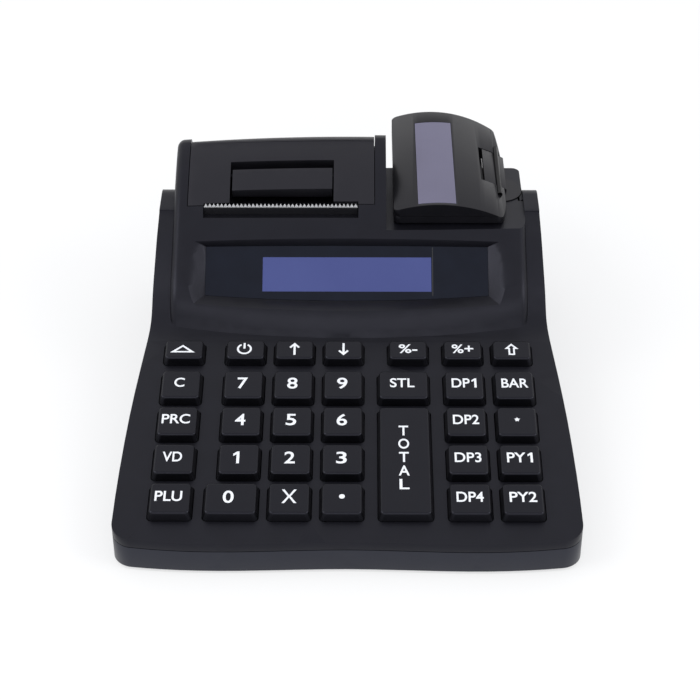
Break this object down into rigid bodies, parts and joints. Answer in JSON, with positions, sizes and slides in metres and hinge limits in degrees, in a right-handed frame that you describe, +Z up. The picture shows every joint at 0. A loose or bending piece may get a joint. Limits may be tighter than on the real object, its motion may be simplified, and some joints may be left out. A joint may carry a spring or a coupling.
{
  "type": "ticket register",
  "caption": "Portable ticket register: sloping keyboard of separate sprung keys, operator display, hinged-cover thermal ticket printer and flip-up customer display.",
  "frame": {"origin": "centre of the footprint box at the level of the feet", "axes": "+X to the operator's right, +Y from the keyboard's front edge to the back, +Z up"},
  "size_m": [0.169, 0.2175, 0.0758],
  "materials": {
    "case_plastic": "fine texture",
    "cover_plastic": "fine texture",
    "pod_plastic": "fine texture",
    "key_plastic": "satin with white legends",
    "smoked_window": "smoked, glossy",
    "lcd_glass": "blue display",
    "rubber": "matte",
    "platen_rubber": "ground rubber",
    "board": "green circuit board",
    "steel": "brushed",
    "frame_plastic": "moulded",
    "gear_plastic": "natural acetal",
    "head": "ceramic and aluminium",
    "paper": "coated paper",
    "battery": "shrink sleeve"
  },
  "bodies": {
    "case": {"top_case": "case_plastic", "bottom_case": "case_plastic", "display_lens": "smoked_window", "operator_lcd": "lcd_glass", "keypad_mat": "rubber", "key_board": "board", "main_board": "board", "battery_pack": "battery", "cover_hinge_pin": "steel", "feed_motor": "steel", "printer_frame": "frame_plastic", "print_head": "head", "tear_bar": "steel", "rubber_feet": "rubber", "case_screws": "steel", "display_neck": "pod_plastic", "display_hinge_pin": "steel"},
    "cover": {"printer_cover": "cover_plastic"},
    "release_bar": {"release_lever": "cover_plastic"},
    "platen": {"platen_roller": "platen_rubber", "platen_gear": "gear_plastic"},
    "drive": {"drive_gear": "gear_plastic"},
    "paper": {"paper_roll": "paper"},
    "customer_display": {"display_top_shell": "pod_plastic", "display_bottom_shell": "pod_plastic", "customer_lens": "smoked_window", "customer_lcd": "lcd_glass"},
    "key_feed_body": {"key_feed": "key_plastic"},
    "key_power_body": {"key_power": "key_plastic"},
    "key_up_body": {"key_up": "key_plastic"},
    "key_down_body": {"key_down": "key_plastic"},
    "key_percent_minus_body": {"key_percent_minus": "key_plastic"},
    "key_percent_plus_body": {"key_percent_plus": "key_plastic"},
    "key_shift_body": {"key_shift": "key_plastic"},
    "key_plu_body": {"key_plu": "key_plastic"},
    "key_void_body": {"key_void": "key_plastic"},
    "key_price_body": {"key_price": "key_plastic"},
    "key_clear_body": {"key_clear": "key_plastic"},
    "key_1_body": {"key_1": "key_plastic"},
    "key_2_body": {"key_2": "key_plastic"},
    "key_3_body": {"key_3": "key_plastic"},
    "key_4_body": {"key_4": "key_plastic"},
    "key_5_body": {"key_5": "key_plastic"},
    "key_6_body": {"key_6": "key_plastic"},
    "key_7_body": {"key_7": "key_plastic"},
    "key_8_body": {"key_8": "key_plastic"},
    "key_9_body": {"key_9": "key_plastic"},
    "key_0_body": {"key_0": "key_plastic"},
    "key_multiply_body": {"key_multiply": "key_plastic"},
    "key_point_body": {"key_point": "key_plastic"},
    "key_subtotal_body": {"key_subtotal": "key_plastic"},
    "key_total_body": {"key_total": "key_plastic"},
    "key_department_4_body": {"key_department_4": "key_plastic"},
    "key_department_3_body": {"key_department_3": "key_plastic"},
    "key_department_2_body": {"key_department_2": "key_plastic"},
    "key_department_1_body": {"key_department_1": "key_plastic"},
    "key_pay_2_body": {"key_pay_2": "key_plastic"},
    "key_pay_1_body": {"key_pay_1": "key_plastic"},
    "key_star_body": {"key_star": "key_plastic"},
    "key_barcode_body": {"key_barcode": "key_plastic"}
  },
  "joints": [
    {"name": "cover_hinge", "type": "hinge", "parent": "case", "child": "cover", "pos_m": [-0.0275, 0.0689, 0.0692], "axis": [-1, 0, 0], "range_deg": [0, 95]},
    {"name": "release_bar_hinge", "type": "hinge", "parent": "cover", "child": "release_bar", "pos_m": [-0.0273, 0.0563, 0.0654], "axis": [-1, 0, 0], "range_deg": [0, 25], "stiffness_Nm_per_rad": 0.02, "springref_deg": -11.46},
    {"name": "platen_spin", "type": "hinge", "parent": "cover", "child": "platen", "pos_m": [-0.0275, 0.0482, 0.0535], "axis": [1, 0, 0], "continuous": true},
    {"name": "drive_spin", "type": "hinge", "parent": "case", "child": "drive", "pos_m": [0.0065, 0.05273, 0.04727], "axis": [1, 0, 0], "continuous": true},
    {"name": "paper_spin", "type": "hinge", "parent": "case", "child": "paper", "pos_m": [-0.027, 0.0598, 0.0395], "axis": [1, 0, 0], "continuous": true},
    {"name": "display_tilt", "type": "hinge", "parent": "case", "child": "customer_display", "pos_m": [0.0615, 0.0713, 0.0599], "axis": [0, 1, 0], "range_deg": [0, 90]},
    {"name": "key_feed_press", "type": "slide", "parent": "case", "child": "key_feed_body", "axis": [0, 0.1392, -0.9903], "range_m": [0, 0.002], "stiffness_N_per_m": 250, "springref_m": -0.001},
    {"name": "key_power_press", "type": "slide", "parent": "case", "child": "key_power_body", "axis": [0, 0.1392, -0.9903], "range_m": [0, 0.002], "stiffness_N_per_m": 250, "springref_m": -0.001},
    {"name": "key_up_press", "type": "slide", "parent": "case", "child": "key_up_body", "axis": [0, 0.1392, -0.9903], "range_m": [0, 0.002], "stiffness_N_per_m": 250, "springref_m": -0.001},
    {"name": "key_down_press", "type": "slide", "parent": "case", "child": "key_down_body", "axis": [0, 0.1392, -0.9903], "range_m": [0, 0.002], "stiffness_N_per_m": 250, "springref_m": -0.001},
    {"name": "key_percent_minus_press", "type": "slide", "parent": "case", "child": "key_percent_minus_body", "axis": [0, 0.1392, -0.9903], "range_m": [0, 0.002], "stiffness_N_per_m": 250, "springref_m": -0.001},
    {"name": "key_percent_plus_press", "type": "slide", "parent": "case", "child": "key_percent_plus_body", "axis": [0, 0.1392, -0.9903], "range_m": [0, 0.002], "stiffness_N_per_m": 250, "springref_m": -0.001},
    {"name": "key_shift_press", "type": "slide", "parent": "case", "child": "key_shift_body", "axis": [0, 0.1392, -0.9903], "range_m": [0, 0.002], "stiffness_N_per_m": 250, "springref_m": -0.001},
    {"name": "key_plu_press", "type": "slide", "parent": "case", "child": "key_plu_body", "axis": [0, 0.1392, -0.9903], "range_m": [0, 0.002], "stiffness_N_per_m": 250, "springref_m": -0.001},
    {"name": "key_void_press", "type": "slide", "parent": "case", "child": "key_void_body", "axis": [0, 0.1392, -0.9903], "range_m": [0, 0.002], "stiffness_N_per_m": 250, "springref_m": -0.001},
    {"name": "key_price_press", "type": "slide", "parent": "case", "child": "key_price_body", "axis": [0, 0.1392, -0.9903], "range_m": [0, 0.002], "stiffness_N_per_m": 250, "springref_m": -0.001},
    {"name": "key_clear_press", "type": "slide", "parent": "case", "child": "key_clear_body", "axis": [0, 0.1392, -0.9903], "range_m": [0, 0.002], "stiffness_N_per_m": 250, "springref_m": -0.001},
    {"name": "key_1_press", "type": "slide", "parent": "case", "child": "key_1_body", "axis": [0, 0.1392, -0.9903], "range_m": [0, 0.002], "stiffness_N_per_m": 250, "springref_m": -0.001},
    {"name": "key_2_press", "type": "slide", "parent": "case", "child": "key_2_body", "axis": [0, 0.1392, -0.9903], "range_m": [0, 0.002], "stiffness_N_per_m": 250, "springref_m": -0.001},
    {"name": "key_3_press", "type": "slide", "parent": "case", "child": "key_3_body", "axis": [0, 0.1392, -0.9903], "range_m": [0, 0.002], "stiffness_N_per_m": 250, "springref_m": -0.001},
    {"name": "key_4_press", "type": "slide", "parent": "case", "child": "key_4_body", "axis": [0, 0.1392, -0.9903], "range_m": [0, 0.002], "stiffness_N_per_m": 250, "springref_m": -0.001},
    {"name": "key_5_press", "type": "slide", "parent": "case", "child": "key_5_body", "axis": [0, 0.1392, -0.9903], "range_m": [0, 0.002], "stiffness_N_per_m": 250, "springref_m": -0.001},
    {"name": "key_6_press", "type": "slide", "parent": "case", "child": "key_6_body", "axis": [0, 0.1392, -0.9903], "range_m": [0, 0.002], "stiffness_N_per_m": 250, "springref_m": -0.001},
    {"name": "key_7_press", "type": "slide", "parent": "case", "child": "key_7_body", "axis": [0, 0.1392, -0.9903], "range_m": [0, 0.002], "stiffness_N_per_m": 250, "springref_m": -0.001},
    {"name": "key_8_press", "type": "slide", "parent": "case", "child": "key_8_body", "axis": [0, 0.1392, -0.9903], "range_m": [0, 0.002], "stiffness_N_per_m": 250, "springref_m": -0.001},
    {"name": "key_9_press", "type": "slide", "parent": "case", "child": "key_9_body", "axis": [0, 0.1392, -0.9903], "range_m": [0, 0.002], "stiffness_N_per_m": 250, "springref_m": -0.001},
    {"name": "key_0_press", "type": "slide", "parent": "case", "child": "key_0_body", "axis": [0, 0.1392, -0.9903], "range_m": [0, 0.002], "stiffness_N_per_m": 250, "springref_m": -0.001},
    {"name": "key_multiply_press", "type": "slide", "parent": "case", "child": "key_multiply_body", "axis": [0, 0.1392, -0.9903], "range_m": [0, 0.002], "stiffness_N_per_m": 250, "springref_m": -0.001},
    {"name": "key_point_press", "type": "slide", "parent": "case", "child": "key_point_body", "axis": [0, 0.1392, -0.9903], "range_m": [0, 0.002], "stiffness_N_per_m": 250, "springref_m": -0.001},
    {"name": "key_subtotal_press", "type": "slide", "parent": "case", "child": "key_subtotal_body", "axis": [0, 0.1392, -0.9903], "range_m": [0, 0.002], "stiffness_N_per_m": 250, "springref_m": -0.001},
    {"name": "key_total_press", "type": "slide", "parent": "case", "child": "key_total_body", "axis": [0, 0.1392, -0.9903], "range_m": [0, 0.002], "stiffness_N_per_m": 250, "springref_m": -0.001},
    {"name": "key_department_4_press", "type": "slide", "parent": "case", "child": "key_department_4_body", "axis": [0, 0.1392, -0.9903], "range_m": [0, 0.002], "stiffness_N_per_m": 250, "springref_m": -0.001},
    {"name": "key_department_3_press", "type": "slide", "parent": "case", "child": "key_department_3_body", "axis": [0, 0.1392, -0.9903], "range_m": [0, 0.002], "stiffness_N_per_m": 250, "springref_m": -0.001},
    {"name": "key_department_2_press", "type": "slide", "parent": "case", "child": "key_department_2_body", "axis": [0, 0.1392, -0.9903], "range_m": [0, 0.002], "stiffness_N_per_m": 250, "springref_m": -0.001},
    {"name": "key_department_1_press", "type": "slide", "parent": "case", "child": "key_department_1_body", "axis": [0, 0.1392, -0.9903], "range_m": [0, 0.002], "stiffness_N_per_m": 250, "springref_m": -0.001},
    {"name": "key_pay_2_press", "type": "slide", "parent": "case", "child": "key_pay_2_body", "axis": [0, 0.1392, -0.9903], "range_m": [0, 0.002], "stiffness_N_per_m": 250, "springref_m": -0.001},
    {"name": "key_pay_1_press", "type": "slide", "parent": "case", "child": "key_pay_1_body", "axis": [0, 0.1392, -0.9903], "range_m": [0, 0.002], "stiffness_N_per_m": 250, "springref_m": -0.001},
    {"name": "key_star_press", "type": "slide", "parent": "case", "child": "key_star_body", "axis": [0, 0.1392, -0.9903], "range_m": [0, 0.002], "stiffness_N_per_m": 250, "springref_m": -0.001},
    {"name": "key_barcode_press", "type": "slide", "parent": "case", "child": "key_barcode_body", "axis": [0, 0.1392, -0.9903], "range_m": [0, 0.002], "stiffness_N_per_m": 250, "springref_m": -0.001}
  ],
  "couplings": [
    {"joint": "drive_spin", "follows": "platen_spin", "ratio": -0.75}
  ]
}
